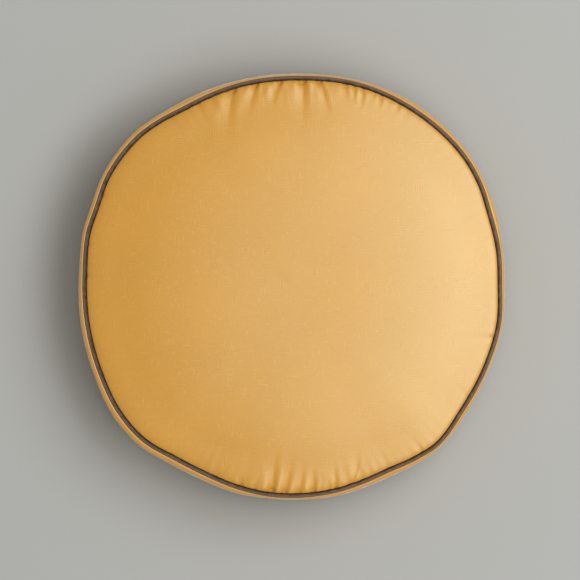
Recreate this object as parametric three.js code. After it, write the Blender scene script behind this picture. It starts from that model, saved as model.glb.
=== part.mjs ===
// Round box cushion, lying on its bottom panel: a filled body with a crowned top panel and
// bottom panel, a gusset band around its side, and a piping cord in each of its two seams.
// Millimetres, +Z up. The body lies on z = 0, and the middle of its outline is on the Z axis.
// Angles turn from +X, its right side seen from above, towards +Y, its far side.

import * as THREE from 'three';

// Driving dimensions

const SEAM_RADIUS = 229; // mean radius of both panels, 18 inches across their seams
const GUSSET_HEIGHT = 76; // from one seam to the other, 3 inches
const TOP_CROWN = 21; // rise of the top panel above its seam
const BOTTOM_CROWN = 17; // drop of the bottom panel below its seam
const REST_RADIUS = 150; // the bottom panel is pressed flat inside this radius
const PIPING_RADIUS = 2.7; // 4 mm cord in its folded strip of cloth
const CLOTH = 1.6; // thickness of the gusset band
const GAP = 0.35; // clear space between two pieces

// Outline seen from above, in degrees and millimetres: the radius of the top seam's piping
// and of the widest line of the gusset. Cloth gives most on its bias, so the round panel
// fills out into four soft corners, near 40, 140, 220 and 310 degrees.

const OUTLINE = [
  { angle: 0, seam: 226.5, gusset: 233 },
  { angle: 10, seam: 228, gusset: 234 },
  { angle: 20, seam: 229, gusset: 237 },
  { angle: 29, seam: 233, gusset: 238.5 },
  { angle: 38, seam: 234.5, gusset: 240 },
  { angle: 56, seam: 232.5, gusset: 239 },
  { angle: 71, seam: 230.5, gusset: 235.5 },
  { angle: 88, seam: 226, gusset: 231 },
  { angle: 104, seam: 225.5, gusset: 231.5 },
  { angle: 121, seam: 225.5, gusset: 234 },
  { angle: 129, seam: 229.5, gusset: 236.5 },
  { angle: 136, seam: 232.5, gusset: 239 },
  { angle: 149, seam: 232.5, gusset: 238.5 },
  { angle: 158, seam: 228.5, gusset: 235.5 },
  { angle: 166, seam: 228.5, gusset: 235 },
  { angle: 176, seam: 225.5, gusset: 232.5 },
  { angle: 190, seam: 226, gusset: 234 },
  { angle: 204, seam: 228.5, gusset: 236.5 },
  { angle: 216, seam: 232.5, gusset: 240.5 },
  { angle: 226, seam: 232.5, gusset: 240.5 },
  { angle: 236, seam: 226.5, gusset: 235.5 },
  { angle: 245, seam: 225, gusset: 233.5 },
  { angle: 256, seam: 227, gusset: 234.5 },
  { angle: 266, seam: 228.5, gusset: 233 },
  { angle: 281, seam: 228, gusset: 234.5 },
  { angle: 297, seam: 226.5, gusset: 234.5 },
  { angle: 306, seam: 231, gusset: 237.5 },
  { angle: 313, seam: 234, gusset: 238.5 },
  { angle: 324, seam: 229.5, gusset: 236 },
  { angle: 338, seam: 228.5, gusset: 233 },
  { angle: 349, seam: 229, gusset: 233.5 },
];

// Puckers of the top panel, where it is eased into its seam across the grain: the angle of
// each furrow, its half width along the seam, its depth, and its length in from the seam.

const PUCKERS = [
  { angle: 109, width: 9, depth: 1.6, length: 34 },
  { angle: 100.5, width: 5, depth: 1.8, length: 24 },
  { angle: 93.5, width: 5, depth: 1.3, length: 16 },
  { angle: 85.5, width: 6, depth: 2.6, length: 36 },
  { angle: 80.5, width: 5, depth: 1.8, length: 26 },
  { angle: 74, width: 4, depth: 1, length: 14 },
  { angle: 69, width: 4, depth: 1, length: 14 },
  { angle: 64, width: 4, depth: 0.8, length: 12 },
  { angle: 256, width: 4, depth: 0.8, length: 12 },
  { angle: 261.5, width: 5, depth: 1, length: 12 },
  { angle: 265.5, width: 5, depth: 2.2, length: 36 },
  { angle: 269.5, width: 5, depth: 1.8, length: 30 },
  { angle: 274, width: 5, depth: 1.6, length: 22 },
  { angle: 278, width: 5, depth: 1.4, length: 16 },
  { angle: 283, width: 5, depth: 1.4, length: 18 },
];

// Rows of each section, as fractions of a panel's radius and of the gusset's half height

const TOP_ROWS = { middle: [0.22, 0.42], outer: [0.6, 0.75], edge: [0.86, 0.92, 0.955, 0.978, 0.992, 1] };
const SIDE_ROWS = [1, 0.95, 0.8, 0.45, 0, -0.45, -0.8, -0.95, -1];
const BOTTOM_ROWS = [1, 0.99, 0.95, 0.85, 0.65, 0.4];
const PIPING_SIDES = 8;

// Roundness of each curve, as the two powers of a superellipse

const TOP_CURVE = { across: 2.4, up: 1.9 };
const BOTTOM_CURVE = { across: 2.2, up: 1.8 };
const SIDE_CURVE = { across: 2.6, up: 1.8 };

// Columns around the cushion, finer where the top panel puckers

const COLUMNS = 96;
const PUCKERED_ARCS = [{ from: 60, to: 116 }, { from: 250, to: 292 }];
const FINE_SPLIT = 3;

// Sizes that follow

const CRADLE_RADIUS = PIPING_RADIUS + GAP; // of the hollow in which a piping lies
const BAND_RIM = -0.7; // the band's rims end this far outside the piping's centre line
const BAND_HALF_HEIGHT = GUSSET_HEIGHT / 2 - CRADLE_RADIUS;
const BODY_INSET = CLOTH + GAP; // of the filled body behind the gusset band
const BOTTOM_SEAM_HEIGHT = BOTTOM_CROWN;
const MIDDLE_HEIGHT = BOTTOM_SEAM_HEIGHT + GUSSET_HEIGHT / 2;
const TOP_SEAM_HEIGHT = BOTTOM_SEAM_HEIGHT + GUSSET_HEIGHT;
const BOTTOM_EVENNESS = 0.6; // the bottom seam keeps this share of the top seam's corners

// Outline

function outlineRow(index) {
  const turns = Math.floor(index / OUTLINE.length);
  const row = OUTLINE[index - turns * OUTLINE.length];
  return { ...row, angle: row.angle + turns * 360 };
}

// One column of the outline table at any angle, on a smooth closed curve through its rows.
function outlineAt(degrees, column) {
  const angle = ((degrees % 360) + 360) % 360;
  const index = OUTLINE.findLastIndex((row) => row.angle <= angle);
  const [before, start, end, after] = [-1, 0, 1, 2].map((step) => outlineRow(index + step));
  const span = end.angle - start.angle;
  const t = (angle - start.angle) / span;
  const startSlope = (end[column] - before[column]) / (end.angle - before.angle) * span;
  const endSlope = (after[column] - start[column]) / (after.angle - start.angle) * span;
  const rise = end[column] - start[column];
  const bend = startSlope + endSlope - 2 * rise;
  return start[column] + t * (startSlope + t * (3 * rise - 2 * startSlope - endSlope + t * bend));
}

function topSeam(degrees) {
  return outlineAt(degrees, 'seam');
}

function bottomSeam(degrees) {
  return SEAM_RADIUS + BOTTOM_EVENNESS * (topSeam(degrees) - SEAM_RADIUS);
}

// Height above a superellipse's long axis, for a fraction of its half width.
function crown(fraction, curve) {
  return (1 - Math.abs(fraction) ** curve.across) ** (1 / curve.up);
}

// Depth of the puckers at an angle and a distance in from the top panel's edge.
function puckerDepth(degrees, inFromEdge) {
  return PUCKERS.reduce((depth, pucker) => {
    const along = THREE.MathUtils.degToRad(degrees - pucker.angle) * SEAM_RADIUS / pucker.width;
    const fade = Math.max(0, 1 - inFromEdge / pucker.length);
    return depth + pucker.depth * Math.exp(-(along ** 2)) * fade ** 1.5;
  }, 0);
}

// Sections: each gives a radius and a height for an angle.

function topPanelPoint(fraction) {
  return (degrees) => {
    const edge = topSeam(degrees) - CRADLE_RADIUS;
    const depth = puckerDepth(degrees, edge * (1 - fraction));
    const steepness = fraction ** 40; // the edge stands upright beside the piping
    const radius = edge * fraction - depth * steepness;
    const height = TOP_SEAM_HEIGHT + TOP_CROWN * crown(fraction, TOP_CURVE) - depth * (1 - steepness);
    return [radius, height];
  };
}

function bottomPanelPoint(fraction) {
  return (degrees) => {
    const edge = bottomSeam(degrees) - CRADLE_RADIUS;
    const rest = REST_RADIUS * edge / SEAM_RADIUS;
    const height = BOTTOM_SEAM_HEIGHT * (1 - crown(fraction, BOTTOM_CURVE));
    return [rest + (edge - rest) * fraction, height];
  };
}

// The gusset's side for a fraction of its half height, set in from the band's outer face.
function sidePoint(fraction, inset) {
  return (degrees) => {
    const share = (1 + fraction) / 2;
    const seam = bottomSeam(degrees) * (1 - share) + topSeam(degrees) * share;
    const middleSeam = (bottomSeam(degrees) + topSeam(degrees)) / 2;
    const bulge = outlineAt(degrees, 'gusset') - middleSeam - inset;
    const outwards = BAND_RIM + (bulge - BAND_RIM) * crown(fraction, SIDE_CURVE);
    return [seam + outwards, MIDDLE_HEIGHT + fraction * (BAND_HALF_HEIGHT - inset)];
  };
}

// A point beside a seam, some way outwards and above its piping's centre.
function besideSeam(seam, seamHeight, outwards, above) {
  return (degrees) => [seam(degrees) + outwards, seamHeight + above];
}

// The hollow for a piping, from its panel's edge to the shelf that holds the band's rim.
// The sign is 1 at the top seam and -1 at the bottom seam.
function cradlePoints(seam, seamHeight, sign) {
  const shelf = BAND_RIM - GAP;
  const below = Math.sqrt(CRADLE_RADIUS ** 2 - shelf ** 2);
  const slant = CRADLE_RADIUS * Math.SQRT1_2;
  return [
    besideSeam(seam, seamHeight, -slant, -sign * slant),
    besideSeam(seam, seamHeight, shelf, -sign * below),
    besideSeam(seam, seamHeight, shelf, -sign * (CRADLE_RADIUS + BODY_INSET)),
  ];
}

// Columns

const evenColumns = Array.from({ length: COLUMNS }, (_, index) => index * 360 / COLUMNS);
const halfColumns = evenColumns.filter((_, index) => index % 2 === 0);
const fineColumns = evenColumns.flatMap((angle) => {
  const fine = PUCKERED_ARCS.some((arc) => angle >= arc.from && angle < arc.to);
  const parts = fine ? FINE_SPLIT : 1;
  return Array.from({ length: parts }, (_, part) => angle + part * 360 / COLUMNS / parts);
});

// The middle of the outline's box, which goes on the Z axis.
function outlineMiddle() {
  const box = new THREE.Box2();
  for (const degrees of evenColumns) {
    const angle = THREE.MathUtils.degToRad(degrees);
    const radius = outlineAt(degrees, 'gusset');
    box.expandByPoint(new THREE.Vector2(radius * Math.cos(angle), radius * Math.sin(angle)));
  }
  return box.getCenter(new THREE.Vector2());
}

const MIDDLE = outlineMiddle();

// Skins: a ring of points for each row, joined to the next ring by a strip of triangles.

function ring(columns, point) {
  return { columns, point };
}

function poleRing(height) {
  return { columns: [], point: () => [0, height] };
}

// Triangles between two rings, which may differ in their number of columns.
function strip(lower, upper, triangles) {
  const corner = (band, step) => band.start + step % Math.max(1, band.columns.length);
  const angleAt = (band, step) => band.columns[step] ?? 360;
  let [a, b] = [0, 0];
  while (a < lower.columns.length || b < upper.columns.length) {
    const lowerIsNext = a < lower.columns.length
      && (b === upper.columns.length || angleAt(lower, a + 1) <= angleAt(upper, b + 1));
    if (lowerIsNext) {
      triangles.push(corner(lower, a), corner(lower, a + 1), corner(upper, b));
      a += 1;
    } else {
      triangles.push(corner(lower, a), corner(upper, b + 1), corner(upper, b));
      b += 1;
    }
  }
}

// A closed skin through rings listed from bottom to top along its outer face. One that
// has no poles closes on itself.
function skin(rings) {
  const positions = [];
  const placed = rings.map(({ columns, point }) => {
    const start = positions.length / 3;
    for (const degrees of columns.length ? columns : [0]) {
      const [radius, height] = point(degrees);
      const angle = THREE.MathUtils.degToRad(degrees);
      const onAxis = radius === 0 ? 0 : 1;
      positions.push(radius * Math.cos(angle) - onAxis * MIDDLE.x);
      positions.push(radius * Math.sin(angle) - onAxis * MIDDLE.y, height);
    }
    return { start, columns };
  });
  const triangles = [];
  for (let index = 1; index < placed.length; index += 1) {
    strip(placed[index - 1], placed[index], triangles);
  }
  if (placed[0].columns.length) {
    strip(placed[placed.length - 1], placed[0], triangles);
  }
  const geometry = new THREE.BufferGeometry();
  geometry.setAttribute('position', new THREE.Float32BufferAttribute(positions, 3));
  geometry.setIndex(triangles);
  geometry.computeVertexNormals();
  return geometry;
}

// Pieces

const cloth = new THREE.MeshStandardMaterial({ color: 0xd9a55a, roughness: 0.72, metalness: 0 });
const gussetCloth = cloth.clone();
const pipingCloth = new THREE.MeshStandardMaterial({ color: 0x7a6658, roughness: 0.85, metalness: 0 });

function filledBody() {
  const bottomCradle = cradlePoints(bottomSeam, BOTTOM_SEAM_HEIGHT, -1);
  const topCradle = cradlePoints(topSeam, TOP_SEAM_HEIGHT, 1);
  const sideRows = SIDE_ROWS.slice(1, -1).reverse();
  return skin([
    poleRing(0),
    ring(halfColumns, bottomPanelPoint(0)),
    ...BOTTOM_ROWS.toReversed().map((row) => ring(evenColumns, bottomPanelPoint(row))),
    ...bottomCradle.map((point) => ring(evenColumns, point)),
    ...sideRows.map((row) => ring(evenColumns, sidePoint(row, BODY_INSET))),
    ...topCradle.toReversed().map((point) => ring(evenColumns, point)),
    ...TOP_ROWS.edge.toReversed().map((row) => ring(fineColumns, topPanelPoint(row))),
    ...TOP_ROWS.outer.toReversed().map((row) => ring(evenColumns, topPanelPoint(row))),
    ...TOP_ROWS.middle.toReversed().map((row) => ring(halfColumns, topPanelPoint(row))),
    poleRing(TOP_SEAM_HEIGHT + TOP_CROWN),
  ]);
}

function gussetBand() {
  const outer = SIDE_ROWS.toReversed().map((row) => ring(evenColumns, sidePoint(row, 0)));
  const inner = SIDE_ROWS.map((row) => ring(evenColumns, sidePoint(row, CLOTH)));
  return skin([...outer, ...inner]);
}

function piping(seam, seamHeight) {
  const points = Array.from({ length: PIPING_SIDES }, (_, side) => {
    const angle = (side / PIPING_SIDES) * 2 * Math.PI;
    const outwards = PIPING_RADIUS * Math.cos(angle);
    return besideSeam(seam, seamHeight, outwards, PIPING_RADIUS * Math.sin(angle));
  });
  return skin(points.map((point) => ring(evenColumns, point)));
}

const PIECES = [
  { name: 'filled_body', geometry: filledBody(), material: cloth },
  { name: 'gusset_band', geometry: gussetBand(), material: gussetCloth },
  { name: 'piping_top', geometry: piping(topSeam, TOP_SEAM_HEIGHT), material: pipingCloth },
  { name: 'piping_bottom', geometry: piping(bottomSeam, BOTTOM_SEAM_HEIGHT), material: pipingCloth.clone() },
];

const cushion = new THREE.Group();
for (const { name, geometry, material } of PIECES) {
  const mesh = new THREE.Mesh(geometry, material);
  mesh.name = name;
  cushion.add(mesh);
}

export default cushion;
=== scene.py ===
"""Low round box cushion in mustard cloth with taupe piping, dressed over its CAD frame."""

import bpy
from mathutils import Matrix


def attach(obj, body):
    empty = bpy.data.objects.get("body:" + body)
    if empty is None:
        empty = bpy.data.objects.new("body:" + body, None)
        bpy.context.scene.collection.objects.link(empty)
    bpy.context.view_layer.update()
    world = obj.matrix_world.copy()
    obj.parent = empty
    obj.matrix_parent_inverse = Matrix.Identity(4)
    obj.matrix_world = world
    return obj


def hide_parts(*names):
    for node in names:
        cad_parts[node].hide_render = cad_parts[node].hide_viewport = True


bl_info = {
    "name": "Low round pouf cushion",
    "version": (1, 0, 0),
    "blender": (4, 5, 0),
    "location": "3D View > Sidebar > Pouf",
    "description": "Crowned cushion, gusset strip and two pipings, with a plain studio stage",
    "category": "Add Mesh",
}

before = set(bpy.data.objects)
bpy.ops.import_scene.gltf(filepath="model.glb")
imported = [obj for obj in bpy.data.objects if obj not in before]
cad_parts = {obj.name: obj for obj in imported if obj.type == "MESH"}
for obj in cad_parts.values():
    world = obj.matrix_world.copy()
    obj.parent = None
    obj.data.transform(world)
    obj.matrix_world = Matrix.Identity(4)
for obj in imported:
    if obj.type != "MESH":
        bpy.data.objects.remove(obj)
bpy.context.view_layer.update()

import math
from dataclasses import dataclass

import bmesh
import bpy
import numpy as np
from bpy.props import FloatProperty, FloatVectorProperty, IntProperty, PointerProperty
from mathutils import Vector

MM = 0.001
BODY = "root"

# Outline seen from above, from +X towards +Y: angle in degrees, radius of the top seam and
# radius of the gusset's widest line in millimetres.

OUTLINE = (
    (0, 226.5, 233),
    (10, 228, 234),
    (20, 229, 237),
    (29, 233, 238.5),
    (38, 234.5, 240),
    (56, 232.5, 239),
    (71, 230.5, 235.5),
    (88, 226, 231),
    (104, 225.5, 231.5),
    (121, 225.5, 234),
    (129, 229.5, 236.5),
    (136, 232.5, 239),
    (149, 232.5, 238.5),
    (158, 228.5, 235.5),
    (166, 228.5, 235),
    (176, 225.5, 232.5),
    (190, 226, 234),
    (204, 228.5, 236.5),
    (216, 232.5, 240.5),
    (226, 232.5, 240.5),
    (236, 226.5, 235.5),
    (245, 225, 233.5),
    (256, 227, 234.5),
    (266, 228.5, 233),
    (281, 228, 234.5),
    (297, 226.5, 234.5),
    (306, 231, 237.5),
    (313, 234, 238.5),
    (324, 229.5, 236),
    (338, 228.5, 233),
    (349, 229, 233.5),
)


@dataclass(frozen=True)
class Pucker:
    """A furrow at a seam: angle in degrees, half width, depth and length in millimetres,
    and how far its angle turns for each millimetre in from the seam."""

    angle: float
    width: float
    depth: float
    length: float
    lean: float


# The top panel is eased into its seam across the grain, on its far and near sides.

TOP_PUCKERS = (
    Pucker(117.0, 6.0, 0.7, 34, 0.05),
    Pucker(106.7, 6.6, 2.5, 48, 0.14),
    Pucker(100.0, 4.6, 2.5, 32, 0.14),
    Pucker(93.2, 4.0, 2.4, 26, 0.13),
    Pucker(86.8, 5.6, 3.1, 42, -0.02),
    Pucker(82.0, 3.8, 2.5, 36, -0.12),
    Pucker(74.8, 4.0, 1.1, 24, -0.08),
    Pucker(72.4, 2.6, 1.0, 24, -0.07),
    Pucker(69.9, 2.6, 1.1, 22, -0.06),
    Pucker(66.4, 2.4, 0.4, 14, -0.05),
    Pucker(64.6, 2.6, 0.9, 14, -0.05),
    Pucker(59.0, 2.6, 0.6, 12, 0.0),
    Pucker(248.6, 2.8, 0.6, 12, 0.0),
    Pucker(255.7, 3.4, 1.0, 16, -0.1),
    Pucker(259.8, 2.8, 0.8, 10, -0.04),
    Pucker(264.6, 4.8, 3.0, 42, 0.0),
    Pucker(268.2, 4.4, 2.2, 36, 0.05),
    Pucker(272.2, 4.0, 1.8, 30, 0.05),
    Pucker(276.2, 3.8, 2.2, 26, 0.02),
    Pucker(280.7, 2.8, 1.0, 14, 0.0),
    Pucker(282.5, 3.2, 1.5, 24, 0.02),
    Pucker(287.4, 4.0, 1.0, 34, 0.16),
    Pucker(177.2, 4.5, 0.8, 30, 0.03),
    Pucker(168.4, 3.2, 0.5, 16, -0.04),
    Pucker(154.6, 4.0, 0.7, 30, -0.1),
    Pucker(345.6, 4.0, 0.7, 30, -0.08),
    Pucker(328.0, 3.2, 0.4, 18, 0.03),
    Pucker(308.4, 3.2, 0.5, 22, 0.0),
)

# Folds of the gusset below its top seam, where the strip is eased round the corners.

GUSSET_FOLDS = (
    Pucker(262.0, 3.4, 0.7, 22, 0.10),
    Pucker(271.0, 3.2, 0.8, 20, 0.12),
    Pucker(279.5, 3.6, 1.2, 26, 0.14),
    Pucker(284.6, 3.0, 1.3, 24, 0.16),
    Pucker(289.8, 3.4, 1.5, 28, 0.15),
    Pucker(294.2, 2.8, 1.0, 20, 0.14),
    Pucker(298.6, 3.2, 1.3, 26, 0.16),
    Pucker(303.0, 3.2, 1.4, 24, 0.12),
    Pucker(307.8, 3.0, 1.1, 20, 0.14),
    Pucker(312.6, 3.4, 1.3, 26, 0.12),
    Pucker(317.2, 3.0, 1.1, 22, 0.1),
    Pucker(323.0, 3.4, 0.9, 20, 0.08),
    Pucker(334.0, 4.0, 0.6, 24, 0.0),
    Pucker(12.0, 4.0, 0.6, 22, -0.05),
    Pucker(47.0, 4.2, 0.9, 28, -0.1),
    Pucker(55.0, 3.4, 0.7, 20, -0.08),
    Pucker(83.6, 3.0, 0.8, 20, 0.05),
    Pucker(89.4, 3.2, 1.0, 22, 0.06),
    Pucker(95.8, 3.2, 1.0, 20, 0.05),
    Pucker(103.0, 3.4, 0.8, 24, 0.06),
    Pucker(113.0, 4.0, 0.8, 22, 0.08),
    Pucker(126.0, 4.2, 0.9, 26, 0.06),
    Pucker(143.0, 4.0, 0.8, 24, -0.05),
    Pucker(161.0, 3.6, 0.7, 20, -0.05),
    Pucker(197.0, 4.0, 0.6, 22, 0.04),
    Pucker(222.0, 4.4, 0.9, 28, 0.05),
    Pucker(234.0, 3.6, 0.9, 22, 0.05),
    Pucker(243.0, 3.4, 0.8, 20, 0.06),
)


# Sizes and colours that a user would change

def length(name, description, default):
    """A length in metres, shown in the scene's units."""
    return FloatProperty(name=name, description=description, default=default, min=0.0,
                         subtype="DISTANCE", unit="LENGTH", precision=4)


def share(name, description, default, most=1.0):
    """A plain number from nothing up to a largest value."""
    return FloatProperty(name=name, description=description, default=default, min=0.0, max=most)


def colour(name, description, default):
    """A scene linear colour."""
    return FloatVectorProperty(name=name, description=description, default=default, size=3,
                               subtype="COLOR", min=0.0, max=1.0)


class CushionSizes(bpy.types.PropertyGroup):
    """Sizes of the cushion, as its frame has them."""

    seam_radius: length("Seam radius", "Mean radius of both panels", 0.229)
    gusset_height: length("Gusset height", "From one seam to the other", 0.076)
    top_crown: length("Top crown", "Rise of the top panel above its seam", 0.021)
    bottom_crown: length("Bottom crown", "Drop of the bottom panel below its seam", 0.017)
    rest_radius: length("Rest radius", "The bottom panel lies flat inside this radius", 0.150)
    piping_radius: length("Piping radius", "Covered cord", 0.0027)
    cloth: length("Gusset cloth", "Thickness of the gusset strip", 0.0010)
    gap: length("Gap", "Clear space between two pieces", 0.00035)
    slack: share("Slack", "Share of its crown that the form has before it is filled", 0.81)
    pressure: share("Pressure", "Pressure of the filling in the cloth simulation", 4.0, 50.0)
    swell: length("Largest swell", "Cap on how far the filling moves the cloth", 0.008)
    pucker: share("Pucker strength", "Scale of every furrow's depth", 0.95, 3.0)
    frames: IntProperty(name="Frames", description="Steps of the simulation", default=20, min=2)


class ClothLook(bpy.types.PropertyGroup):
    """Colours and thread sizes of the two cloths."""

    mustard: colour("Mustard", "Main cloth", (0.730, 0.314, 0.004))
    taupe: colour("Taupe", "Piping cloth", (0.122, 0.078, 0.056))
    thread: length("Thread pitch", "From one thread of the main cloth to the next", 0.0006)
    slub: share("Slub strength", "Lighter thick places in the threads", 0.8)
    roughness: share("Roughness", "Main cloth", 0.41)
    specular: share("Specular", "Lustre of the main cloth", 1.0)
    ior: share("Refraction", "Index of the main cloth's fibres", 1.7, 3.0)
    sheen: share("Sheen", "Fibre ends of the panels", 0.03)
    gusset_sheen: share("Gusset sheen", "Fibre ends of the gusset, which is seen edge on", 0.7)


class StageLook(bpy.types.PropertyGroup):
    """Floor, lights and camera."""

    floor: colour("Floor", "Plain pale floor", (0.50, 0.505, 0.48))
    key_power: share("Key power", "Soft light from the upper right, in watts", 36.0, 1000.0)
    side_power: share("Side power", "Soft light from the lower right, in watts", 20.0, 1000.0)
    ambient: share("Ambient", "Even light from all round", 0.42, 10.0)
    view_width: length("View width", "Width of the picture at the top seam", 0.632)
    view_distance: length("View distance", "Camera above the top seam", 20.0)


# Outline

SEAM, GUSSET = 1, 2  # columns of the outline's table
OUTLINE_SAMPLES = 96


def outline_radius(turn, column):
    """Radius in metres at angles in degrees, on a smooth closed curve through the table."""
    table = np.array(OUTLINE)
    count = len(table)
    angle = np.mod(turn, 360.0)
    index = np.searchsorted(table[:, 0], angle, side="right") - 1

    def row(step):
        turns, place = np.divmod(index + step, count)
        return table[place, 0] + 360.0 * turns, table[place, column]

    (a0, r0), (a1, r1), (a2, r2), (a3, r3) = [row(step) for step in (-1, 0, 1, 2)]
    span = a2 - a1
    t = (angle - a1) / span
    start = (r2 - r0) / (a2 - a0) * span
    end = (r3 - r1) / (a3 - a1) * span
    rise = r2 - r1
    bend = start + end - 2 * rise
    return MM * (r1 + t * (start + t * (3 * rise - 2 * start - end + t * bend)))


def outline_middle():
    """Centre of the gusset outline's box, which lies on the Z axis."""
    turn = np.arange(OUTLINE_SAMPLES) * 360 / OUTLINE_SAMPLES
    radius = outline_radius(turn, GUSSET)
    x = radius * np.cos(np.radians(turn))
    y = radius * np.sin(np.radians(turn))
    return (x.max() + x.min()) / 2, (y.max() + y.min()) / 2


MIDDLE = outline_middle()

# Superellipses of the panels and the side: exponents across and up

TOP_CURVE = (2.2, 1.45)
BOTTOM_CURVE = (2.2, 1.8)
SIDE_CURVE = (2.6, 1.8)
BAND_CURVE = (2.0, 2.0)

BOTTOM_EVENNESS = 0.6  # share of the top seam's unevenness that the bottom seam has
BAND_RIM = -0.7 * MM  # where the filled side ends, outwards from the line of its seam
BAND_FLAT = 0.9  # share of its bulge that the strip has all the way down, the rest is its arch

# Panel beside the top piping: its edge stands inside the seam and above it, and is rounded.

LIP_INWARDS = 2.2 * MM
LIP_RISE = 6.0 * MM
LIP_ROUND = 0.8 * MM
LIP_ROUND_REACH = 1.6 * MM

# The gathered seam pulls the top panel's shoulder down, but not on its right.

DRAWN_DOWN = 2.4 * MM
DRAWN_REACH = 12.0 * MM

# Strip beside each piping: it starts outside the seam and past its height, and rolls outwards.

ROLL_OUTWARDS = 2.8 * MM
ROLL_RISE = 0.9 * MM
ROLL_DEPTH = 4.5 * MM
LEAST_BULGE = 5.0 * MM  # leaves room for the strip's turned-in edge behind its own face

# The filling lies a little towards the far left: the direction, and its share of the crown

FULLER_TURN = 140
FULLER_SHARE = 0.34


def crown(fraction, curve):
    """Height above a superellipse's long axis, for a fraction of its half width."""
    across, up = curve
    return np.maximum(0.0, 1 - np.abs(fraction) ** across) ** (1 / up)


def crown_fraction(height, curve):
    """Fraction of the half width at which a superellipse has a height."""
    across, up = curve
    return (1 - height ** up) ** (1 / across)


class Form:
    """The cushion's shape. Its sections give radii and heights in metres for angles in degrees."""

    def __init__(self, sizes):
        self.sizes = sizes
        self.cradle = sizes.piping_radius + sizes.gap
        self.bottom_seam_height = sizes.bottom_crown
        self.top_seam_height = sizes.bottom_crown + sizes.gusset_height
        self.middle_height = sizes.bottom_crown + sizes.gusset_height / 2
        self.half_side = sizes.gusset_height / 2 - self.cradle

    def top_seam(self, turn):
        """Radius of the top seam."""
        return outline_radius(turn, SEAM)

    def bottom_seam(self, turn):
        """Radius of the bottom seam, which is more even."""
        mean = self.sizes.seam_radius
        return mean + BOTTOM_EVENNESS * (self.top_seam(turn) - mean)

    def top_panel(self, turn, fraction, fullness):
        """The top panel, at a fraction of the way out to its edge."""
        edge = self.top_seam(turn) - LIP_INWARDS
        fuller = 1 + FULLER_SHARE * fraction * np.cos(np.radians(turn - FULLER_TURN))
        rise = fullness * (self.sizes.top_crown - LIP_RISE) * crown(fraction, TOP_CURVE)
        rounded = LIP_ROUND * np.exp((fraction - 1) * edge / LIP_ROUND_REACH)
        drawn = 1 - ((1 + np.cos(np.radians(turn))) / 2) ** 2
        rounded = rounded + DRAWN_DOWN * drawn * np.exp((fraction - 1) * edge / DRAWN_REACH)
        return edge * fraction, self.top_seam_height + LIP_RISE + rise * fuller - rounded

    def top_height(self, fullness):
        """Height of the top panel's middle."""
        return self.top_seam_height + LIP_RISE + fullness * (self.sizes.top_crown - LIP_RISE)

    def bottom_panel(self, turn, fraction, fullness):
        """The bottom panel, at a fraction of the way from its flat round to its edge."""
        edge = self.bottom_seam(turn) - self.cradle
        rest = self.sizes.rest_radius * edge / self.sizes.seam_radius
        drop = crown(fraction, BOTTOM_CURVE)
        radius = rest + (edge - rest) * (fraction - (1 - fullness) * drop * fraction)
        return radius, self.bottom_seam_height * (1 - drop) + 0 * turn

    def side(self, turn, level, inset, fullness=1.0):
        """The filled side under the strip, at a level from -1 below to 1 on top."""
        upper = (1 + level) / 2
        seam = self.bottom_seam(turn) * (1 - upper) + self.top_seam(turn) * upper
        middle = (self.bottom_seam(turn) + self.top_seam(turn)) / 2
        bulge = outline_radius(turn, GUSSET) - middle - inset
        outwards = BAND_RIM + fullness * (bulge - BAND_RIM) * crown(level, SIDE_CURVE)
        return seam + outwards, self.middle_height + level * (self.half_side - inset) + 0 * turn

    def band(self, turn, level):
        """The strip's face, at a level from -1 below to 1 on top."""
        upper = (1 + level) / 2
        seam = self.bottom_seam(turn) * (1 - upper) + self.top_seam(turn) * upper
        middle = (self.bottom_seam(turn) + self.top_seam(turn)) / 2
        bulge = np.maximum(outline_radius(turn, GUSSET) - middle, LEAST_BULGE)
        reach = self.sizes.gusset_height / 2 + ROLL_RISE
        down = min(1.0, (1 - abs(level)) * reach / ROLL_DEPTH)
        arch = BAND_FLAT + (1 - BAND_FLAT) * crown(level, BAND_CURVE)
        full = math.sqrt(1 - (1 - down) ** 2) * arch
        outwards = ROLL_OUTWARDS + (bulge - ROLL_OUTWARDS) * full
        return seam + outwards, self.middle_height + level * reach + 0 * turn

    def beside(self, seam, height, turn, outwards, above):
        """A line along a seam, some way outwards from it and above it."""
        return seam(turn) + outwards, height + above + 0 * turn


# Skins: one circle is extruded from ring to ring, and every ring is placed by its section

@dataclass
class Ring:
    """One ring of a skin: how many columns it has, and its section."""

    columns: int
    section: object


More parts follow.
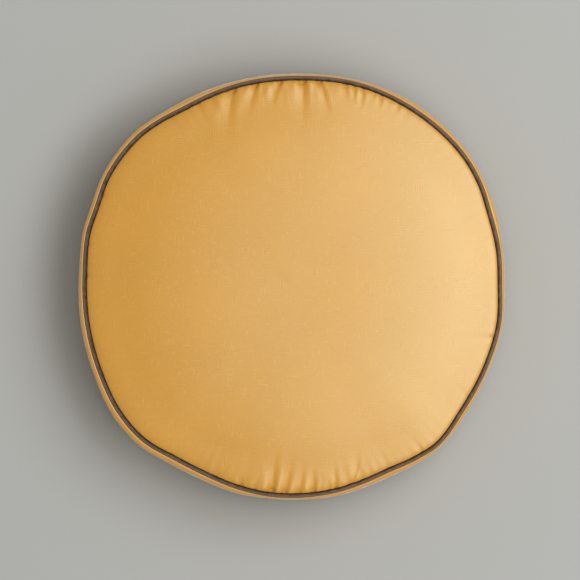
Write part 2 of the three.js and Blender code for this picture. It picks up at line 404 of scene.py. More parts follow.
class Skin:
    """A bmesh that grows ring by ring, with each point's place round and across the skin."""

    def __init__(self):
        self.bm = bmesh.new()
        self.round = self.bm.verts.layers.float.new("round")
        self.across = self.bm.verts.layers.float.new("across")
        self.row = 0

    def place(self, verts, ring):
        """Puts a ring's points on its section, at even angles."""
        step = 360.0 / ring.columns
        turn = np.arange(ring.columns) * step
        radius, height = ring.section(turn)
        xs = radius * np.cos(np.radians(turn)) - MIDDLE[0]
        ys = radius * np.sin(np.radians(turn)) - MIDDLE[1]
        for vert in verts:
            angle = math.degrees(math.atan2(vert.co.y + MIDDLE[1], vert.co.x + MIDDLE[0]))
            column = round(angle / step) % ring.columns
            vert.co = (xs[column], ys[column], height[column])
            vert[self.round] = column / ring.columns
            vert[self.across] = self.row

    def circle(self, ring, pole):
        """Starts a new run of rings, closed round a point on the axis at the pole's height."""
        made = bmesh.ops.create_circle(self.bm, cap_ends=False, segments=ring.columns, radius=1.0)
        self.verts = list(made["verts"])
        for vert in self.verts:
            vert.co.x -= MIDDLE[0]
            vert.co.y -= MIDDLE[1]
        self.place(self.verts, ring)
        self.edges = list({edge for vert in self.verts for edge in vert.link_edges})
        self.last = ring
        if pole is not None:
            face = bmesh.ops.contextual_create(self.bm, geom=self.edges)["faces"]
            centre = bmesh.ops.poke(self.bm, faces=face)["verts"][0]
            centre.co = (-MIDDLE[0], -MIDDLE[1], pole)
            centre[self.across] = -1

    def split(self, columns):
        """Splits the last ring into more columns, on its own section."""
        cuts = columns // self.last.columns - 1
        parts = bmesh.ops.bisect_edges(self.bm, edges=self.edges, cuts=cuts)["geom_split"]
        self.edges = [part for part in parts if isinstance(part, bmesh.types.BMEdge)]
        self.verts = list({vert for edge in self.edges for vert in edge.verts})
        self.place(self.verts, Ring(columns, self.last.section))

    def extrude(self, ring):
        """Adds the next ring, and splits the last one first where the new one is finer."""
        if ring.columns != self.last.columns:
            self.split(ring.columns)
        self.row += 1
        made = bmesh.ops.extrude_edge_only(self.bm, edges=self.edges)["geom"]
        self.verts = [part for part in made if isinstance(part, bmesh.types.BMVert)]
        own = set(self.verts)
        self.edges = [part for part in made if isinstance(part, bmesh.types.BMEdge)
                      and part.verts[0] in own and part.verts[1] in own]
        self.place(self.verts, ring)
        self.last = ring

    def run(self, rings, pole=None):
        """A run of rings, which starts at a pole or is left open."""
        self.circle(rings[0], pole)
        for ring in rings[1:]:
            self.extrude(ring)
        self.row += 1

    def join(self):
        """Joins the two open loops that are left."""
        bmesh.ops.bridge_loops(self.bm, edges=[edge for edge in self.bm.edges if edge.is_boundary])

    def lay_uv(self, round_length, row_length):
        """A UV map in metres along and across the skin."""
        uv = self.bm.loops.layers.uv.new("cloth")
        for face in self.bm.faces:
            turns = [loop.vert[self.round] for loop in face.loops]
            rows = [loop.vert[self.across] for loop in face.loops]
            wraps = max(turns) - min(turns) > 0.5
            closes = max(rows) - min(rows) > 1.5
            for loop, turn, row in zip(face.loops, turns, rows):
                turn += 1 if wraps and turn < 0.5 else 0
                row += self.row if closes and row < 0.5 else 0
                loop[uv].uv = (turn * round_length, row * row_length)

    def finish(self, name):
        """The skin as an object whose faces point outwards."""
        bmesh.ops.recalc_face_normals(self.bm, faces=self.bm.faces)
        mesh = bpy.data.meshes.new(name)
        self.bm.to_mesh(mesh)
        self.bm.free()
        mesh.polygons.foreach_set("use_smooth", [True] * len(mesh.polygons))
        piece = bpy.data.objects.new(name, mesh)
        bpy.context.scene.collection.objects.link(piece)
        return piece


# Furrows

# Along a furrow: its width at the seam and how it widens, as shares of its own width, and the
# share of its length at which it ends. Across it, lengths are shares of its width there.

LOPSIDED = 0.3  # a furrow's right wall is so much steeper than its left one
SEAM_WIDTH = 0.8
WIDENS = 0.7
FADE_END = 1.25
FADE_POWER = 2.2
CREASE_ROUND = 0.35
CREASE_FALL = 1.9
RIDGE_PLACE = 1.7
RIDGE_WIDTH = 0.9
RIDGE_SHARE = 0.28
PIT = 0.6  # a panel's furrow is so much deeper where it runs into the seam
PIT_REACH = 3.5  # millimetres


def furrow_depth(puckers, turn, inwards, seam_radius, pit=0.0):
    """Depth in metres of all furrows at angles, some way in from their seam: a crease with a
    soft ridge on both sides, which fades along its length and has a pit at the seam."""
    depth = np.zeros_like(turn)
    distance = np.maximum(0.0, inwards) / MM
    for pucker in puckers:
        centre = pucker.angle + pucker.lean * distance
        away = np.mod(turn - centre + 180.0, 360.0) - 180.0
        arc = np.radians(away) * seam_radius / MM
        wide = pucker.width * (SEAM_WIDTH + WIDENS * distance / pucker.length)
        x = arc / wide
        x = x * (1 - LOPSIDED * math.sin(math.radians(pucker.angle)) * np.tanh(2 * x))
        crease = np.exp(CREASE_ROUND - np.sqrt(CREASE_FALL * x ** 2 + CREASE_ROUND ** 2))
        ridges = (np.exp(-((x - RIDGE_PLACE) / RIDGE_WIDTH) ** 2)
                  + np.exp(-((x + RIDGE_PLACE) / RIDGE_WIDTH) ** 2))
        fade = np.maximum(0.0, 1 - distance / (FADE_END * pucker.length)) ** FADE_POWER
        fade = fade + pit * np.exp(-(distance / PIT_REACH) ** 2)
        depth += pucker.depth * MM * fade * (crease - RIDGE_SHARE * ridges)
    return depth


GATHER_DEPTH = 1.0 * MM
GATHER_REACH = 8.0 * MM
GATHER_WAVES = 26
GATHERS_ROUND = (48, 150)  # one wave's gathers round the cushion: the least, and above the most
PATCHES_ROUND = (3, 5, 8, 13)  # waves of the stretches that are gathered more or less


def gathers(seed, turn, inwards, reach, depth):
    """Small uneven gathers of a sewn edge, the same on every run."""
    draw = np.random.default_rng(seed)
    total = np.zeros_like(turn)
    for _ in range(GATHER_WAVES):
        waves = int(draw.integers(*GATHERS_ROUND))
        phase = draw.uniform(0.0, 360.0)
        total += np.sin(np.radians(waves * turn + phase)) * draw.uniform(0.4, 1.0)
    patches = np.zeros_like(turn)
    for waves in PATCHES_ROUND:
        patches += np.sin(np.radians(waves * turn + draw.uniform(0.0, 360.0)))
    total *= 0.2 * (0.65 + 0.3 * np.tanh(patches))
    return depth * total * np.exp(-np.maximum(0.0, inwards) / reach)


# Filling: the slack form is blown up by cloth simulation, with both seams held

FORM_COLUMNS = 120
SEAM_STIFFENS = 0.2  # the filling moves the top panel less and less over this share of it
BROAD_WAVES = 7.0  # the taut panel keeps only folds broader than this many round the cushion
TOP_FORM = (0.05, 0.1, 0.15, 0.2, 0.26, 0.32, 0.38, 0.44, 0.5, 0.56, 0.62, 0.68, 0.74, 0.8,
            0.86, 0.91, 0.95, 0.98, 1.0)
SIDE_FORM = (0.86, 0.58, 0.29, 0.0, -0.29, -0.58, -0.86)
BOTTOM_FORM = (1.0, 0.98, 0.94, 0.87, 0.78, 0.66, 0.52, 0.36, 0.18, 0.0)


def slack_form(form):
    """The coarse form before filling: its object, and its rings from top to bottom."""
    slack = form.sizes.slack
    inset = form.sizes.cloth + form.sizes.gap
    rings = [Ring(FORM_COLUMNS, lambda turn, f=f: form.top_panel(turn, f, slack)) for f in TOP_FORM]
    rings += [Ring(FORM_COLUMNS, lambda turn, u=u: form.side(turn, u, inset, slack))
              for u in SIDE_FORM]
    rings += [Ring(FORM_COLUMNS, lambda turn, f=f: form.bottom_panel(turn, f, slack))
              for f in BOTTOM_FORM]
    skin = Skin()
    skin.run(rings, form.top_height(slack))
    bmesh.ops.holes_fill(skin.bm, edges=skin.edges, sides=0)
    return skin.finish("slack_form"), rings


def by_rows(mesh, rows):
    """Point numbers of a form, one row for each ring and one column for each angle."""
    numbers = np.zeros((rows, FORM_COLUMNS), int)
    turn, across = mesh.attributes["round"].data, mesh.attributes["across"].data
    for index in range(len(mesh.vertices)):
        row, column = round(across[index].value), round(turn[index].value * FORM_COLUMNS)
        if row >= 0:
            numbers[row, column % FORM_COLUMNS] = index
    return numbers


def fill_form(form):
    """Fills the slack form by cloth simulation. Returns how far each ring's points swell, as
    radial and upward moves with a row for each ring."""
    sizes = form.sizes
    piece, rings = slack_form(form)
    numbers = by_rows(piece.data, len(rings))
    top_seam_row = len(TOP_FORM) - 1
    bottom_seam_row = top_seam_row + len(SIDE_FORM) + 1
    held = piece.vertex_groups.new(name="seams_and_rest")
    held_rows = (top_seam_row, bottom_seam_row, len(rings) - 1)
    held.add([int(n) for row in held_rows for n in numbers[row]], 1.0, "REPLACE")
    cloth = piece.modifiers.new("Filling", "CLOTH")
    settings = cloth.settings
    settings.quality = 8
    settings.use_pressure = True
    settings.uniform_pressure_force = sizes.pressure
    settings.effector_weights.gravity = 0.0
    settings.vertex_group_mass = held.name
    settings.tension_stiffness = 30.0
    settings.compression_stiffness = 30.0
    settings.bending_stiffness = 1.0
    cloth.point_cache.frame_start = 1
    cloth.point_cache.frame_end = sizes.frames
    scene = bpy.context.scene
    before = np.array([v.co for v in piece.data.vertices])
    for step in range(1, sizes.frames + 1):
        scene.frame_set(step)
    filled = piece.evaluated_get(bpy.context.evaluated_depsgraph_get())
    after = np.array([v.co for v in filled.data.vertices])
    scene.frame_set(1)
    move = after - before
    size = np.linalg.norm(move, axis=1, keepdims=True)
    move *= sizes.swell * np.tanh(size / sizes.swell) / np.maximum(size, 1e-9)
    turn = np.radians(np.arange(FORM_COLUMNS) * 360 / FORM_COLUMNS)
    ringed = move[numbers]
    outwards = ringed[:, :, 0] * np.cos(turn) + ringed[:, :, 1] * np.sin(turn)
    upwards = ringed[:, :, 2]
    for row, place in enumerate(TOP_FORM):
        free = min(1.0, (1.0 - place) / SEAM_STIFFENS)
        outwards[row] *= free
        upwards[row] *= free
    mesh = piece.data
    bpy.data.objects.remove(piece)
    bpy.data.meshes.remove(mesh)
    return outwards, upwards


class Swell:
    """Moves of the filled form, read at any place of a finer skin."""

    def __init__(self, places, outwards, upwards):
        order = np.argsort(places)
        self.places = np.array(places)[order]
        self.moves = np.stack([outwards[order], upwards[order]])

    def at(self, place, columns):
        """Radial and upward move at one place across the skin, for evenly spaced angles: a
        smooth curve through the form's rings, without its fine waves round the cushion."""
        places = self.places
        i = int(np.clip(np.searchsorted(places, place) - 1, 0, len(places) - 2))
        slopes = np.gradient(self.moves, places, axis=1)
        span = places[i + 1] - places[i]
        t = np.clip((place - places[i]) / span, 0.0, 1.0)
        start, end = self.moves[:, i], self.moves[:, i + 1]
        rise = end - start
        m0, m1 = slopes[:, i] * span, slopes[:, i + 1] * span
        value = start + t * (m0 + t * (3 * rise - 2 * m0 - m1 + t * (m0 + m1 - 2 * rise)))
        waves = np.fft.rfft(value, axis=1)
        order = np.arange(waves.shape[1])
        waves *= np.exp(-(order / BROAD_WAVES) ** 2)
        kept = min(waves.shape[1], columns // 2 + 1)
        return np.fft.irfft(waves[:, :kept], n=columns, axis=1) * columns / FORM_COLUMNS


# Cushion

FINE_COLUMNS = 960
COARSER_COLUMNS = ((0.16, 60), (0.35, 120), (0.56, 240), (0.74, 480))  # nearer the middle
BOTTOM_COLUMNS = ((0.3, 480),)

# Rings of the panels, as fractions of the way out: even ones, and then closer ones, which
# start outside the last even one, or else the skin would fold back. The bottom panel's
# closer ones are even in height. The flat round's rings come with their columns.

TOP_EVEN = np.arange(0.03, 0.86, 0.034)
TOP_CLOSER = 1 - 0.13 * np.linspace(1.0, 0.0, 20) ** 1.8
BOTTOM_EVEN = np.linspace(0.0, 0.8, 14)
BOTTOM_CLOSER = np.linspace(0.56, 0.0, 15)
REST_RINGS = ((0.05, 60), (0.12, 60), (0.24, 120), (0.4, 240), (0.6, 240), (0.8, 240), (0.92, 480))
SIDE_LEVELS = (0.97, 0.9, 0.75, 0.5, 0.2)  # rings of the side's upper half, mirrored below

# Round a piping: angles of the lip above it, and the cradle's points inwards from the seam and
# away from the panel, as shares of the cradle's radius.

LIP_ANGLES = (140, 155, 170)
CRADLE_POINTS = ((0.92, 0.38), (math.sqrt(0.5), math.sqrt(0.5)), (0.5, 0.87))

SLOPE_STEP = 0.004  # the panel's slope is taken over this fraction each way
EDGE_SHARE = 0.012  # over this last fraction the ridges beside the furrows die out
GATHERED_ALL_ROUND = 0.25  # the gathers' strength on the left and right
GATHERED_ENDS = 0.65  # how much more of them the far and near sides have
BOTTOM_SHARE = 0.7  # the bottom panel's furrows have this share of the top one's size
SIDE_CLEARANCE = 0.4 * MM  # the filled side stays this far inside its full form


def columns_at(fraction, coarser):
    """Columns of a panel's ring, fewer towards its middle."""
    for limit, columns in coarser:
        if fraction < limit:
            return columns
    return FINE_COLUMNS


def dressed(form, swell, section, puckers, seed, side):
    """A panel's section with its swell, furrows and gathers. The side is 1 on top, -1 below."""
    sizes = form.sizes
    seam = form.top_seam if side > 0 else form.bottom_seam

    def at(turn, fraction):
        radius, height = section(turn, fraction)
        swollen = swell.at(fraction, len(turn))
        radius, height = radius + swollen[0], height + swollen[1]
        inner = section(turn, max(0.0, fraction - SLOPE_STEP))
        outer = section(turn, min(1.0, fraction + SLOPE_STEP))
        along = np.stack([outer[0] - inner[0], outer[1] - inner[1]])
        along /= np.maximum(np.linalg.norm(along, axis=0), 1e-9)
        normal = np.stack([-along[1] * side, along[0] * side])
        inwards = seam(turn) - form.cradle - radius
        depth = furrow_depth(puckers, turn, inwards, sizes.seam_radius, PIT) * sizes.pucker
        gathered = GATHERED_ALL_ROUND + GATHERED_ENDS * np.sin(np.radians(turn)) ** 8
        depth = depth - gathered * gathers(seed, turn, inwards, GATHER_REACH, GATHER_DEPTH)
        before_edge = np.clip((1.0 - fraction) / EDGE_SHARE, 0.0, 1.0)
        depth = np.where(depth < 0, depth * before_edge, depth)
        return radius - normal[0] * depth, height - normal[1] * depth

    return at


def bottom_puckers(puckers):
    """The bottom panel's furrows: the top panel's, turned round and shallower."""
    return tuple(Pucker(-p.angle, p.width, BOTTOM_SHARE * p.depth, BOTTOM_SHARE * p.length, -p.lean)
                 for p in puckers)


def crowned_cushion(form):
    """The filled body with both panels, as one closed padded piece."""
    sizes = form.sizes
    slack = sizes.slack
    outwards, upwards = fill_form(form)
    tops, sides = len(TOP_FORM), len(SIDE_FORM)
    top_swell = Swell(TOP_FORM, outwards[:tops], upwards[:tops])
    side_swell = Swell(SIDE_FORM, outwards[tops:tops + sides], upwards[tops:tops + sides])
    bottom_swell = Swell(BOTTOM_FORM, outwards[tops + sides:], upwards[tops + sides:])

    top = dressed(form, top_swell, lambda t, f: form.top_panel(t, f, slack), TOP_PUCKERS, 11, 1)
    bottom = dressed(form, bottom_swell, lambda t, f: form.bottom_panel(t, f, slack),
                     bottom_puckers(TOP_PUCKERS), 12, -1)
    inset = sizes.cloth + sizes.gap

    def side(turn, level):
        radius, height = form.side(turn, level, inset, slack)
        most = form.side(turn, level, inset)[0] - SIDE_CLEARANCE
        return np.minimum(radius + side_swell.at(level, len(turn))[0], most), height

    def rest(turn, fraction):
        radius, height = bottom(turn, 0.0)
        return radius * fraction, height * 0

    def panel_rings(section, fractions, coarser):
        return [Ring(columns_at(f, coarser), lambda turn, f=f: section(turn, f))
                for f in map(float, fractions)]

    def cradle_rings(seam, height, sign):
        shelf = BAND_RIM - sizes.gap
        places = []
        if sign > 0:
            angles = np.radians(LIP_ANGLES)
            places += zip(form.cradle * np.cos(angles), -form.cradle * np.sin(angles))
        places += [(-form.cradle * inwards, form.cradle * away) for inwards, away in CRADLE_POINTS]
        places += [(shelf, math.sqrt(form.cradle ** 2 - shelf ** 2)), (shelf, form.cradle + inset)]
        return [Ring(FINE_COLUMNS,
                     lambda turn, o=o, a=a: form.beside(seam, height, turn, o, -sign * a))
                for o, a in places]

    def side_rings(sign):
        return [Ring(FINE_COLUMNS, lambda turn, u=u: side(turn, sign * u)) for u in SIDE_LEVELS]

    skin = Skin()
    skin.run(panel_rings(top, (*TOP_EVEN, *TOP_CLOSER), COARSER_COLUMNS)
             + cradle_rings(form.top_seam, form.top_seam_height, 1)
             + side_rings(1), form.top_height(slack) + float(upwards[0].mean()))
    closer = [crown_fraction(height, BOTTOM_CURVE) for height in BOTTOM_CLOSER]
    skin.run([Ring(columns, lambda turn, f=f: rest(turn, f)) for f, columns in REST_RINGS]
             + panel_rings(bottom, (*BOTTOM_EVEN, *closer), BOTTOM_COLUMNS)
             + cradle_rings(form.bottom_seam, form.bottom_seam_height, -1)
             + side_rings(-1), 0.0)
    skin.join()
    for vert in skin.bm.verts:
        vert.co.z = max(0.0, vert.co.z)
    return skin.finish("crowned_cushion")


# Gusset strip

STRIP_COLUMNS = 720
STRIP_RINGS = 37
TUCK_ANGLES = (-70, -45, -20)  # the turned-in edge's points round the piping
FOLD_STARTS = 3.5 * MM  # the strip's folds grow from nothing over this way from its edges
LOWER_FOLDS_TURN = 200.0  # the lower folds are the upper ones, mirrored about half this angle
STRIP_GATHER_DEPTH = 0.55 * MM
STRIP_GATHER_REACH = 9 * MM
JOIN_TURN = 91.0  # where the strip's ends are sewn together
JOIN_DEPTH = 0.9 * MM
JOIN_WIDTH = 0.9 * MM
SHELF_REACH = 3 * MM  # this near its edges the strip faces up or down, and so do its folds


def gusset_strip(form):
    """The strip round the side: a thin sheet with its folds, closed by its own thickness."""
    sizes = form.sizes
    levels = np.sin(np.radians(np.linspace(90, -90, STRIP_RINGS)))
    lower_folds = tuple(Pucker(LOWER_FOLDS_TURN - p.angle, p.width, p.depth, p.length, -p.lean)
                        for p in GUSSET_FOLDS)

    def tucks(seam, height, sign):
        for angle in map(math.radians, TUCK_ANGLES):
            across, up = form.cradle * math.cos(angle), form.cradle * math.sin(angle)
            yield Ring(STRIP_COLUMNS, lambda turn, o=across, a=sign * up:
                       form.beside(seam, height, turn, o, a))

    def section(turn, level):
        radius, height = form.band(turn, level)
        from_top = (1 - level) * form.half_side
        from_bottom = (1 + level) * form.half_side
        seam = sizes.seam_radius
        depth = furrow_depth(GUSSET_FOLDS, turn, from_top, seam)
        depth = depth + furrow_depth(lower_folds, turn, from_bottom, seam)
        depth = depth - gathers(21, turn, from_top, STRIP_GATHER_REACH, STRIP_GATHER_DEPTH)
        depth = depth - gathers(22, turn, from_bottom, STRIP_GATHER_REACH, STRIP_GATHER_DEPTH)
        join = np.radians(np.mod(turn - JOIN_TURN + 180.0, 360.0) - 180.0) * seam
        depth = depth + JOIN_DEPTH * np.exp(-np.abs(join) / JOIN_WIDTH)
        depth = depth * (1 - math.exp(-min(from_top, from_bottom) / FOLD_STARTS))
        shelf = math.exp(-from_top / SHELF_REACH) - math.exp(-from_bottom / SHELF_REACH)
        return radius - depth * (1 - 0.5 * abs(shelf)), height - depth * shelf

    skin = Skin()
    rings = list(tucks(form.top_seam, form.top_seam_height, 1))
    rings += [Ring(STRIP_COLUMNS, lambda turn, u=u: section(turn, u)) for u in levels]
    rings += list(tucks(form.bottom_seam, form.bottom_seam_height, -1))[::-1]
    skin.run(rings)
    skin.lay_uv(2 * math.pi * sizes.seam_radius, sizes.gusset_height / (STRIP_RINGS - 1))
    bmesh.ops.recalc_face_normals(skin.bm, faces=skin.bm.faces)
    outward = sum(face.normal.dot(face.calc_center_median()) for face in skin.bm.faces)
    if outward < 0:
        bmesh.ops.reverse_faces(skin.bm, faces=skin.bm.faces)
    bmesh.ops.solidify(skin.bm, geom=skin.bm.faces[:], thickness=sizes.cloth)
    return skin.finish("gusset_strip")


# Pipings

CORD_COLUMNS = 720
CORD_SIDES = 16
CORD_WAVES = 14
WAVES_ROUND = (5, 60)  # one wave's swellings along the cord: the least, and above the most
UNEVEN = 0.05  # share of its radius by which the cord swells and narrows
TWISTED = 0.012  # share of its radius by which the bias strip's twist shows
TWISTS_ROUND = 210
TWIST_STRETCHES = 37
PULLED_IN = 0.25 * MM  # the cord is so much thinner than its seam has room for


def piping(form, name, seam, height, seed):
    """A covered cord in its seam: a closed tube with the slight unevenness of a bias strip."""
    radius = form.sizes.piping_radius
    draw = np.random.default_rng(seed)
    waves = [(int(draw.integers(*WAVES_ROUND)), draw.uniform(0, 360), draw.uniform(0.3, 1))
             for _ in range(CORD_WAVES)]

    def section(turn, side):
        around = 2 * math.pi * side / CORD_SIDES
        wobble = sum(s * np.sin(np.radians(w * turn + p)) for w, p, s in waves) / len(waves)
        twist = np.sin(np.radians(TWISTS_ROUND * turn) + around)
        twist = twist * np.sin(np.radians(TWIST_STRETCHES * turn))
        thick = radius * (1 + UNEVEN * wobble + TWISTED * twist) - PULLED_IN
        return seam(turn) + thick * math.cos(around), height + thick * math.sin(around)

    skin = Skin()
    skin.run([Ring(CORD_COLUMNS, lambda turn, s=s: section(turn, s)) for s in range(CORD_SIDES)])
    skin.join()
    skin.lay_uv(2 * math.pi * form.sizes.seam_radius, 2 * math.pi * radius / CORD_SIDES)
    return skin.finish(name)


# Materials

OBJECT_OUTPUT = 3  # the Texture Coordinate node's Object output


class Term:
    """A shader socket that takes part in Python sums."""

    def __init__(self, tree, socket):
        self.tree = tree
        self.socket = socket

    def math(self, operation, *terms):
        node = self.tree.nodes.new("ShaderNodeMath")
        node.operation = operation
        for socket, term in zip(node.inputs, terms):
            if isinstance(term, Term):
                self.tree.links.new(term.socket, socket)
            else:
                socket.default_value = term
        return Term(self.tree, node.outputs[0])

    def __add__(self, other):
        return self.math("ADD", self, other)

    def __sub__(self, other):
        return self.math("SUBTRACT", self, other)

    def __mul__(self, other):
        return self.math("MULTIPLY", self, other)

    def __abs__(self):
        return self.math("ABSOLUTE", self)

    def sine(self):
        return self.math("SINE", self)


class Finish:
    """A material that is built one node at a time."""

    def __init__(self, name):
        self.material = bpy.data.materials.new(name)
        self.material.use_nodes = True
        self.tree = self.material.node_tree
        self.shader = self.tree.nodes["Principled BSDF"]

    def node(self, kind, settings=None, values=None, output=0):
        """Adds a node: first its settings, then its sockets' values or links."""
        node = self.tree.nodes.new(kind)
        for name, setting in (settings or {}).items():
            setattr(node, name, setting)
        for name, value in (values or {}).items():
            self.feed(node.inputs[name], value)
        return Term(self.tree, node.outputs[output])

    def feed(self, socket, value):
        if isinstance(value, Term):
            self.tree.links.new(value.socket, socket)
        else:
            socket.default_value = value

    def set(self, **values):
        """Values and links of the shader's own sockets, with _ for each space."""
        for name, value in values.items():
            self.feed(self.shader.inputs[name.replace("_", " ")], value)

    def parts(self, vector):
        """The first two parts of a vector, as numbers."""
        split = self.node("ShaderNodeSeparateXYZ", None, {0: vector}).socket.node
        return [Term(self.tree, split.outputs[part]) for part in (0, 1)]

    def noise(self, vector, scale, detail):
        return self.node("ShaderNodeTexNoise", None,
                         {"Vector": vector, "Scale": scale, "Detail": detail})

    def stretched(self, vector, scale):
        return self.node("ShaderNodeVectorMath", {"operation": "MULTIPLY"}, {0: vector, 1: scale})

    def ramp(self, value, low, high):
        """A soft step from 0 to 1 between two values."""
        return self.node("ShaderNodeMapRange", {"interpolation_type": "SMOOTHSTEP"},
                         {"Value": value, "From Min": low, "From Max": high})

    def mix(self, factor, first, second):
        return self.node("ShaderNodeMix", {"data_type": "RGBA"},
                         {0: factor, 6: first, 7: second}, output=2)

    def bump(self, height, strength, distance):
        return self.node("ShaderNodeBump", None,
                         {"Height": height, "Strength": strength, "Distance": distance})


def tint(rgb, factor):
    """A colour with all three parts scaled, for a material's socket."""
    return tuple(min(1.0, part * factor) for part in rgb) + (1.0,)


# Thick places of the main cloth's threads, and short bars. Scales are noise cells for each
# metre, and limits are the noise values at which a place starts and is full.

WEFT_SLUBS = (90.0, 1300.0, 200.0)
WARP_SLUBS = (1300.0, 90.0, 200.0)
WEFT_LIMITS = (0.62, 0.76)
WARP_LIMITS = (0.64, 0.78)
BAR_PITCH = 2.7 * MM
BAR_PATCHES = 52.0
PATCH_LIMITS = (0.56, 0.66)
WEFT_BARS = (190.0, 420.0, 80.0)
WARP_BARS = (420.0, 190.0, 80.0)
BAR_LIMITS = (0.5, 0.62)


def woven(finish, vector, thread, slub):
    """Plain weave with slubs, and patches of short bars. Returns the light and dark of its
    threads, and its height."""
    x, y = finish.parts(vector)
    cells = (x * (math.pi / thread)).sine() * (y * (math.pi / thread)).sine()
    weft = finish.ramp(finish.noise(finish.stretched(vector, WEFT_SLUBS), 1.0, 1.0), *WEFT_LIMITS)
    warp = finish.ramp(finish.noise(finish.stretched(vector, WARP_SLUBS), 1.0, 1.0), *WARP_LIMITS)
    thick = (weft + warp) * slub
    mirrored = finish.stretched(vector, (1.0, -1.0, 1.0))
    bars = []
    for place, wave, runs in ((vector, y, WEFT_BARS), (mirrored, x, WARP_BARS)):
        patch = finish.ramp(finish.noise(place, BAR_PATCHES, 1.0), *PATCH_LIMITS)
        pieces = finish.ramp(finish.noise(finish.stretched(place, runs), 1.0, 0.0), *BAR_LIMITS)
        bars.append((wave * (2 * math.pi / BAR_PITCH)).sine() * patch * pieces)
    barred = bars[0] + bars[1]
    tone = cells * 0.1 + thick * 1.9 + barred * 0.65
    height = abs(cells) * 0.15 + thick * 0.7 + barred * 0.2
    return tone, height


LUSTRE_TINT = (0.80, 1.0, 0.82, 1.0)
FIBRE_TINT = (1.0, 0.95, 0.82, 1.0)
CLOUDS = 11.0  # noise cells for each metre of the slow change in tone


def main_cloth(look, name, from_uv, sheen):
    """Mustard cloth with a soft lustre, fine threads and slubs."""
    finish = Finish(name)
    if from_uv:
        vector = finish.node("ShaderNodeUVMap", {"uv_map": "cloth"})
    else:
        vector = finish.node("ShaderNodeTexCoord", output=OBJECT_OUTPUT)
    tone, height = woven(finish, vector, look.thread, look.slub)
    cloudy = finish.noise(vector, CLOUDS, 3.0)
    light = finish.ramp(tone * 0.35 + (cloudy - 0.5) * 0.35 + 0.5, 0.0, 1.0)
    finish.set(Base_Color=finish.mix(light, tint(look.mustard, 0.86), tint(look.mustard, 1.14)),
               Roughness=finish.ramp(tone, -1.0, 1.2) * -0.06 + (look.roughness + 0.03),
               Normal=finish.bump(height, 0.6, 0.12 * MM))
    finish.set(IOR=look.ior, Specular_IOR_Level=look.specular, Specular_Tint=LUSTRE_TINT,
               Sheen_Weight=sheen, Sheen_Roughness=0.5, Sheen_Tint=FIBRE_TINT)
    return finish.material


BIAS_PITCH = 0.75 * MM
WORN_CELLS = 160.0  # noise cells for each metre of the rubbed places


def piping_cloth(look, radius):
    """Matt taupe bias strip, with its threads slanting across the cord and rubbed places at random.
    Its colour also holds painted shade on the cord's inner side and painted light on its outer
    side."""
    finish = Finish("taupe_piping_cloth")
    u, v = finish.parts(finish.node("ShaderNodeUVMap", {"uv_map": "cloth"}))
    cells = ((u + v) * (math.pi / BIAS_PITCH)).sine() * ((u - v) * (math.pi / BIAS_PITCH)).sine()
    worn = finish.noise(finish.node("ShaderNodeTexCoord", output=OBJECT_OUTPUT), WORN_CELLS, 3.0)
    # painted shade and light round the cord: darker on its inner side, in the crevice by the
    # panel's lip, and lighter on its outer side
    outer = (v * (1 / radius) + math.pi / 2).sine()
    # light mixes the bias weave, the random rubbed places and this painted shade and light
    light = finish.ramp(cells * 0.2 + (worn - 0.5) * 0.8 + outer * 0.55 + 0.45, 0.0, 1.0)
    # the dark and pale tints lie far apart so that they carry the painted shade and light
    finish.set(Base_Color=finish.mix(light, tint(look.taupe, 0.30), tint(look.taupe, 2.0)),
               Roughness=light * -0.1 + 0.85,
               Normal=finish.bump(abs(cells) + worn * 0.5, 0.6, 0.14 * MM))
    finish.set(Specular_IOR_Level=0.25, Sheen_Weight=0.2, Sheen_Roughness=0.4)
    return finish.material


def floor_finish(look):
    """Plain pale matt floor with a hardly visible grain."""
    finish = Finish("pale_floor")
    place = finish.node("ShaderNodeTexCoord", output=OBJECT_OUTPUT)
    grain = finish.ramp(finish.noise(place, 260.0, 2.0), 0.2, 0.8)
    finish.set(Base_Color=finish.mix(grain, tint(look.floor, 0.995), tint(look.floor, 1.005)),
               Roughness=0.9)
    finish.set(Specular_IOR_Level=0.2)
    return finish.material


# Operators

def dress(piece, material, node):
    """Gives a piece its material, hangs it on the body it rides on, and hides the CAD part it
    stands for.
    """
    piece.data.materials.append(material)
    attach(piece, BODY)
    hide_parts(node)


class POUF_OT_crowned_cushion(bpy.types.Operator):
    """Make the filled cushion with its top and bottom panels"""

    bl_idname = "pouf.crowned_cushion"
    bl_label = "Crowned cushion"

    def execute(self, context):
        look = context.scene.pouf_cloth
        piece = crowned_cushion(Form(context.scene.pouf_sizes))
        dress(piece, main_cloth(look, "mustard_panel_cloth", False, look.sheen),
              "filled_body")
        return {"FINISHED"}


class POUF_OT_gusset_strip(bpy.types.Operator):
    """Make the strip of cloth round the side"""

    bl_idname = "pouf.gusset_strip"
    bl_label = "Gusset strip"

    def execute(self, context):
        look = context.scene.pouf_cloth
        piece = gusset_strip(Form(context.scene.pouf_sizes))
        dress(piece, main_cloth(look, "mustard_gusset_cloth", True, look.gusset_sheen),
              "gusset_band")
        return {"FINISHED"}


class POUF_OT_pipings(bpy.types.Operator):
    """Make the covered cord of each seam"""

    bl_idname = "pouf.pipings"
    bl_label = "Pipings"

    def execute(self, context):
        form = Form(context.scene.pouf_sizes)
        material = piping_cloth(context.scene.pouf_cloth, form.sizes.piping_radius)
        top = piping(form, "top_piping", form.top_seam, form.top_seam_height, 31)
        dress(top, material, "piping_top")
        bottom = piping(form, "bottom_piping", form.bottom_seam, form.bottom_seam_height, 32)
        dress(bottom, material, "piping_bottom")
        return {"FINISHED"}


FLOOR_HALF = 6.0
LIGHT_DISTANCE = 3.0
AIM = Vector((0.0, 0.0, 0.06))
VIEW_OFFSET = (-0.0020, -0.0035)  # the picture's middle isn't quite the cushion's


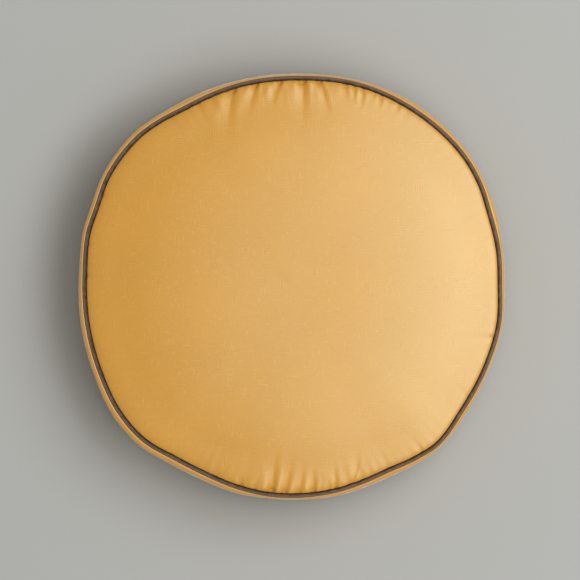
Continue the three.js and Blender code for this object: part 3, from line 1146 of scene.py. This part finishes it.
def add_light(name, turn, rise, size, watts):
    """A round soft light at angles in degrees from the cushion, not seen by the camera."""
    data = bpy.data.lights.new(name, "AREA")
    data.shape = "DISK"
    data.size = size
    data.energy = watts
    light = bpy.data.objects.new(name, data)
    bpy.context.scene.collection.objects.link(light)
    turn, rise = math.radians(turn), math.radians(rise)
    towards = Vector((math.cos(rise) * math.cos(turn), math.cos(rise) * math.sin(turn),
                      math.sin(rise)))
    light.location = AIM + LIGHT_DISTANCE * towards
    light.rotation_euler = (AIM - light.location).to_track_quat("-Z", "Y").to_euler()
    light.visible_camera = False


class POUF_OT_stage(bpy.types.Operator):
    """Make the floor, the lights and the camera"""

    bl_idname = "pouf.stage"
    bl_label = "Stage"

    def execute(self, context):
        scene = context.scene
        look = scene.pouf_stage
        sizes = scene.pouf_sizes
        bm = bmesh.new()
        bmesh.ops.create_grid(bm, x_segments=4, y_segments=4, size=FLOOR_HALF)
        mesh = bpy.data.meshes.new("floor")
        bm.to_mesh(mesh)
        bm.free()
        floor = bpy.data.objects.new("floor", mesh)
        scene.collection.objects.link(floor)
        mesh.materials.append(floor_finish(look))

        add_light("key", 27, 60, 2.1, look.key_power)
        add_light("side", -33, 67, 1.5, look.side_power)

        world = bpy.data.worlds.new("studio")
        scene.world = world
        world.use_nodes = True
        background = world.node_tree.nodes["Background"]
        background.inputs["Color"].default_value = (1.0, 1.0, 1.0, 1.0)
        background.inputs["Strength"].default_value = look.ambient

        camera_data = bpy.data.cameras.new("straight_above")
        camera = bpy.data.objects.new("straight_above", camera_data)
        scene.collection.objects.link(camera)
        seam_height = sizes.bottom_crown + sizes.gusset_height
        camera.location = (*VIEW_OFFSET, seam_height + look.view_distance)
        camera_data.lens = camera_data.sensor_width * look.view_distance / look.view_width
        camera_data.clip_start = 0.1
        camera_data.clip_end = 2 * look.view_distance
        scene.camera = camera
        scene.view_settings.view_transform = "Standard"
        scene.view_settings.look = "None"
        return {"FINISHED"}


class POUF_PT_pieces(bpy.types.Panel):
    """Lists the pieces and their sizes"""

    bl_idname = "POUF_PT_pieces"
    bl_label = "Low round pouf cushion"
    bl_space_type = "VIEW_3D"
    bl_region_type = "UI"
    bl_category = "Pouf"

    def draw(self, context):
        for group in (context.scene.pouf_sizes, context.scene.pouf_cloth, context.scene.pouf_stage):
            box = self.layout.box()
            for name in group.__annotations__:
                box.prop(group, name)
        for operator in PIECES:
            self.layout.operator(operator.bl_idname)


GROUPS = (CushionSizes, ClothLook, StageLook)
PIECES = (POUF_OT_crowned_cushion, POUF_OT_gusset_strip, POUF_OT_pipings, POUF_OT_stage)


def register():
    for kind in GROUPS + PIECES + (POUF_PT_pieces,):
        bpy.utils.register_class(kind)
    bpy.types.Scene.pouf_sizes = PointerProperty(type=CushionSizes)
    bpy.types.Scene.pouf_cloth = PointerProperty(type=ClothLook)
    bpy.types.Scene.pouf_stage = PointerProperty(type=StageLook)


def unregister():
    del bpy.types.Scene.pouf_sizes
    del bpy.types.Scene.pouf_cloth
    del bpy.types.Scene.pouf_stage
    for kind in reversed(GROUPS + PIECES + (POUF_PT_pieces,)):
        bpy.utils.unregister_class(kind)


def main():
    """Makes every piece and the stage."""
    register()
    bpy.ops.pouf.crowned_cushion()
    bpy.ops.pouf.gusset_strip()
    bpy.ops.pouf.pipings()
    bpy.ops.pouf.stage()


if __name__ == "__main__":
    main()
